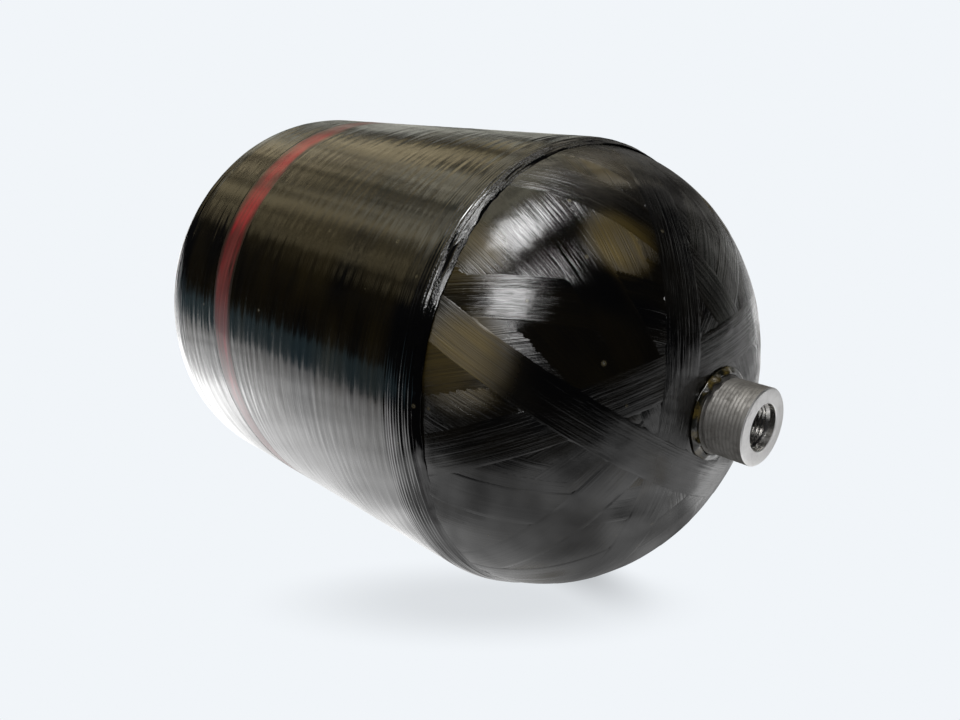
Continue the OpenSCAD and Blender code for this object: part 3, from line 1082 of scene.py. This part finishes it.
studio = {
    "backdrop": (0.880, 0.913, 0.947, 1),
    "dark": (0.008, 0.008, 0.009, 1),
    "sheet": (1.0, 1.0, 1.0, 1),  # pale sheet that the vessel lies on, as it shows in reflections
    "beyond": (0.085, 0.14, 0.165, 1),  # blue-grey room past the sheet's far edge
    "plainSide": 0.72,  # radiance of the sheet under the dome
    "brightSide": 1.05,  # added beside the cylinder
    "glare": 2.1,  # added past the closed end
}

# The sheet by its places in metres: each pair says where a soft edge starts and where it is full
sheet = {
    "nearY": (-0.345, -0.325),  # its near edge
    "stepX": (0.05, 0.08),  # where that edge steps, and by how much
    "step": -0.06,
    "slant": -0.55,  # how much its slanted edge turns with X
    "slantedY": (-0.30, -0.265),
    "brightX": (0.12, 0.0),  # from the side under the dome to the bright side
    "lightY": (-0.34, -0.12),  # where the light grows, from and to the next two values
    "light": (0.48, 1.35),
    "creaseScale": 13.0,
    "creases": (0.3, 0.62),  # noise that leaves no light and all of it
    "creasedX": (-0.04, 0.06),  # from the faint creases to the strong ones
    "faintCreases": (0.25, 0.6),  # how much the faint ones show, and the light added to them
    "glareX": (-0.12, -0.21),
    "glareY": (-0.17, -0.10),
    "glareFarY": (0.25, 0.1),
    "roomX": (-0.15, -0.30),  # where the blue-grey room shows past the sheet
    "roomY": (-1.3, -1.1),
    # Parts by their soft edges, and how much of the light each loses, or gains where it is below 0
    "shades": [
        ((("fromX", 0.12, 0.07), ("fromY", 0.15, 0.08)), 0.25),
        ((("y", -0.12, 0.0),), 0.3),
        ((("x", 0.30, 0.36),), -0.8),
        ((("y", 0.6, 1.1), ("x", 0.35, 0.1)), 0.5),
    ],
    # Round spots the same way, by centre, inner radius and outer radius
    "spots": [
        ((0.11, 0.02), 0.035, 0.07, 0.7),
        ((0.2, 0.045), 0.05, 0.11, -1.1),
    ],
}

# Parts of the room that show in reflections: azimuth, half width, lowest and highest, softness of the
# edges, all in degrees, and colour
wallPatches = [
    (178, 44, 22, 37, 3, (0.50, 0.42, 0.25, 1)),
    (166, 16, 24, 37, 5, (0.76, 0.64, 0.40, 1)),
    (178, 52, 37, 95, 3, (0.95, 0.90, 0.70, 1)),
    (105, 21, 2, 43, 4, (0.17, 0.165, 0.155, 1)),
    (113, 25, 43, 62, 4, (0.90, 0.83, 0.68, 1)),
    (86, 14, -10, 18, 4, (0.34, 0.34, 0.32, 1)),
    (146, 18, -5, 24, 3, (0.42, 0.42, 0.37, 1)),
]
softboxes = [
    {"name": "keyBox", "place": (0.08, -0.34, 1.20), "target": (0.10, -0.06, 0.17), "size": (0.60, 0.40),
     "turn": math.radians(28), "radiance": 20},
    {"name": "windowBox", "place": (0.56, -0.86, 0.93), "target": (0.11, -0.07, 0.14), "size": (0.60, 0.34),
     "turn": 0, "radiance": 18},
]
floorShadow = {
    "centre": (0.074, -0.050),
    "turn": math.radians(46.6),
    "size": (0.088, 0.030),
    "fade": (1.25, 0.25),
    "depth": 0.19,
    "contactDepth": 0.5,
    "contactWidth": 0.022,
    "contactEnds": (0.14, 0.07),
}


def part(tree, ways, *edges):  # mask of a part of the floor by its soft edges
    return times(tree, *[ramp(tree, ways[way], low, high) for way, low, high in edges])


def roundSpot(tree, ways, centre, inner, outer):  # mask of a round soft spot on the floor
    across = mathNode(tree, "SUBTRACT", ways["x"], centre[0])
    along = mathNode(tree, "SUBTRACT", ways["y"], centre[1])
    squares = mathNode(tree, "MULTIPLY_ADD", across, across, mathNode(tree, "POWER", along, 2.0))
    return ramp(tree, mathNode(tree, "SQRT", squares), outer, inner)


def reflectedSheet(tree, place, ways):  # what reflections see of the floor
    x, y = ways["x"], ways["y"]
    stepped = mathNode(tree, "MULTIPLY_ADD", ramp(tree, x, *sheet["stepX"]), sheet["step"], y)
    slanted = mathNode(tree, "MULTIPLY_ADD", x, sheet["slant"], y)
    onSheet = times(tree, ramp(tree, stepped, *sheet["nearY"]), ramp(tree, slanted, *sheet["slantedY"]))
    brightSide = ramp(tree, x, *sheet["brightX"])
    light = mathNode(tree, "MULTIPLY_ADD", brightSide, studio["brightSide"], studio["plainSide"])
    light = times(tree, light, spread(tree, y, *sheet["lightY"], *sheet["light"]))
    creases = addNode(tree, "TexNoise", Scale=sheet["creaseScale"], Detail=3.0, Vector=place).outputs["Fac"]
    strong = spread(tree, creases, *sheet["creases"])
    faint = mathNode(tree, "MULTIPLY_ADD", strong, *sheet["faintCreases"])
    light = times(tree, light, mixColour(tree, ramp(tree, x, *sheet["creasedX"]), faint, strong))
    glare = part(tree, ways, ("x", *sheet["glareX"]), ("y", *sheet["glareY"]), ("y", *sheet["glareFarY"]))
    light = mathNode(tree, "ADD", light, times(tree, glare, studio["glare"]))
    for edges, amount in sheet["shades"]:
        light = lessened(tree, light, part(tree, ways, *edges), amount)
    for centre, inner, outer, amount in sheet["spots"]:
        light = lessened(tree, light, roundSpot(tree, ways, centre, inner, outer), amount)
    behind = part(tree, ways, ("x", *sheet["roomX"]), ("y", *sheet["roomY"]))
    room = mixColour(tree, behind, studio["dark"], studio["beyond"])
    lit = mixColour(tree, 1.0, studio["sheet"], light, blend="MULTIPLY")
    return mixColour(tree, onSheet, room, lit)


def seenFloor(tree, place, ways):  # what the camera sees of the floor: plain, with a faint soft shadow
    shadow = floorShadow
    mapping = addNode(tree, "Mapping", vector_type="TEXTURE", Location=(*shadow["centre"], 0),
                      Rotation=(0, 0, shadow["turn"]), Scale=(*shadow["size"], 1), Vector=place)
    length = addNode(tree, "VectorMath", operation="LENGTH", Vector=mapping.outputs[0]).outputs["Value"]
    soft = times(tree, ramp(tree, length, *shadow["fade"]), shadow["depth"])
    contact = part(tree, ways, ("fromX", shadow["contactWidth"], 0), ("fromY", *shadow["contactEnds"]))
    dark = times(tree, contact, shadow["contactDepth"])
    light = times(tree, mathNode(tree, "SUBTRACT", 1.0, soft), mathNode(tree, "SUBTRACT", 1.0, dark))
    return mixColour(tree, 1.0, studio["backdrop"], light, blend="MULTIPLY")


def floorMaterial():
    material = bpy.data.materials.new("floor")
    material.use_nodes = True
    tree = material.node_tree
    tree.nodes.clear()
    place = objectPlaces(tree)
    x, y, _ = addNode(tree, "SeparateXYZ", Vector=place).outputs
    ways = {
        "x": x,
        "y": y,
        "fromX": mathNode(tree, "ABSOLUTE", y),  # distance from the line under the vessel's axis
        "fromY": mathNode(tree, "ABSOLUTE", x),  # and from the line across it
    }
    mirrored = reflectedSheet(tree, place, ways)
    seen = seenFloor(tree, place, ways)
    byCamera = addNode(tree, "LightPath").outputs["Is Camera Ray"]
    glow = addNode(tree, "Emission", Color=mixColour(tree, byCamera, mirrored, seen))
    addNode(tree, "OutputMaterial", Surface=glow.outputs[0])
    return material


floorMesh = bmesh.new()
bmesh.ops.create_grid(floorMesh, x_segments=1, y_segments=1, size=4)
floorPiece = newPiece("floor", floorMesh, floorMaterial(), smooth=False)


def patchGroup():  # mask of a soft-edged part of the room, by azimuth and height in degrees
    group, start, end = newGroup(
        "room patch", {"Azimuth": 0.0, "Half Width": 30.0, "Low": 0.0, "High": 30.0, "Soft": 5.0}, ("Mask",))
    outward = addNode(group, "TexCoord").outputs["Generated"]
    x, y, z = addNode(group, "SeparateXYZ", Vector=outward).outputs
    azimuth = mathNode(group, "RADIANS", start["Azimuth"])
    away = mathNode(group, "SUBTRACT", mathNode(group, "ARCTAN2", y, x), azimuth)
    away = mathNode(group, "DEGREES", mathNode(group, "ARCCOSINE", mathNode(group, "COSINE", away)))
    rise = mathNode(group, "DEGREES", mathNode(group, "ARCSINE", z))

    def above(value, limit):  # 1 where value is well above limit
        over = mathNode(group, "DIVIDE", mathNode(group, "SUBTRACT", value, limit), start["Soft"])
        return ramp(group, over, -1, 1)

    between = times(group, above(rise, start["Low"]), above(start["High"], rise))
    setInputs(group, end, Mask=times(group, above(start["Half Width"], away), between))
    return group


def fillWorld(tree, patch):
    tree.nodes.clear()
    room = studio["dark"]
    for azimuth, halfWidth, low, high, soft, colour in wallPatches:
        mask = addNode(tree, "Group", node_tree=patch, Azimuth=azimuth, Half_Width=halfWidth, Low=low,
                       High=high, Soft=soft)
        room = mixColour(tree, mask.outputs[0], room, colour)
    places = addNode(tree, "TexCoord").outputs["Generated"]
    clutter = addNode(tree, "TexNoise", Scale=7.0, Detail=4.0, Roughness=0.6, Vector=places).outputs["Fac"]
    room = mixColour(tree, 1.0, room, spread(tree, clutter, 0.44, 0.56, 0.2, 1.4), blend="MULTIPLY")
    byCamera = addNode(tree, "LightPath").outputs["Is Camera Ray"]
    shade = addNode(tree, "Background", Color=mixColour(tree, byCamera, room, studio["backdrop"]))
    addNode(tree, "OutputWorld", Surface=shade.outputs[0])


def softenLight(tree):  # a softbox whose edges and face aren't quite even
    tree.nodes.clear()
    face = addNode(tree, "NewGeometry").outputs["Parametric"]
    x, y, _ = addNode(tree, "SeparateXYZ", Vector=face).outputs
    fromEdge = mathNode(tree, "MINIMUM", *[mathNode(tree, "PINGPONG", way, 0.5) for way in (x, y)])
    uneven = addNode(tree, "TexNoise", Scale=5.0, Detail=3.0, Vector=face).outputs["Fac"]
    wavy = times(tree, mathNode(tree, "SUBTRACT", uneven, 0.5), 0.6)
    shade = addNode(tree, "Emission", Strength=ramp(tree, mathNode(tree, "ADD", fromEdge, wavy), 0.0, 0.22))
    addNode(tree, "OutputLight", Surface=shade.outputs[0])


world = bpy.data.worlds.new("studio")
bpy.context.scene.world = world
world.use_nodes = True
fillWorld(world.node_tree, patchGroup())
for box in softboxes:
    width, height = box["size"]
    lightData = bpy.data.lights.new(box["name"], "AREA")
    lightData.shape = "RECTANGLE"
    lightData.size = width
    lightData.size_y = height
    lightData.energy = box["radiance"] * math.pi * width * height
    lightData.use_nodes = True
    softenLight(lightData.node_tree)
    light = bpy.data.objects.new(box["name"], lightData)
    light.location = box["place"]
    aim = (Vector(box["target"]) - Vector(box["place"])).to_track_quat("-Z", "Y")
    light.rotation_euler = (aim @ Quaternion((0, 0, 1), box["turn"])).to_euler()
    light.visible_camera = False
    bpy.context.scene.collection.objects.link(light)
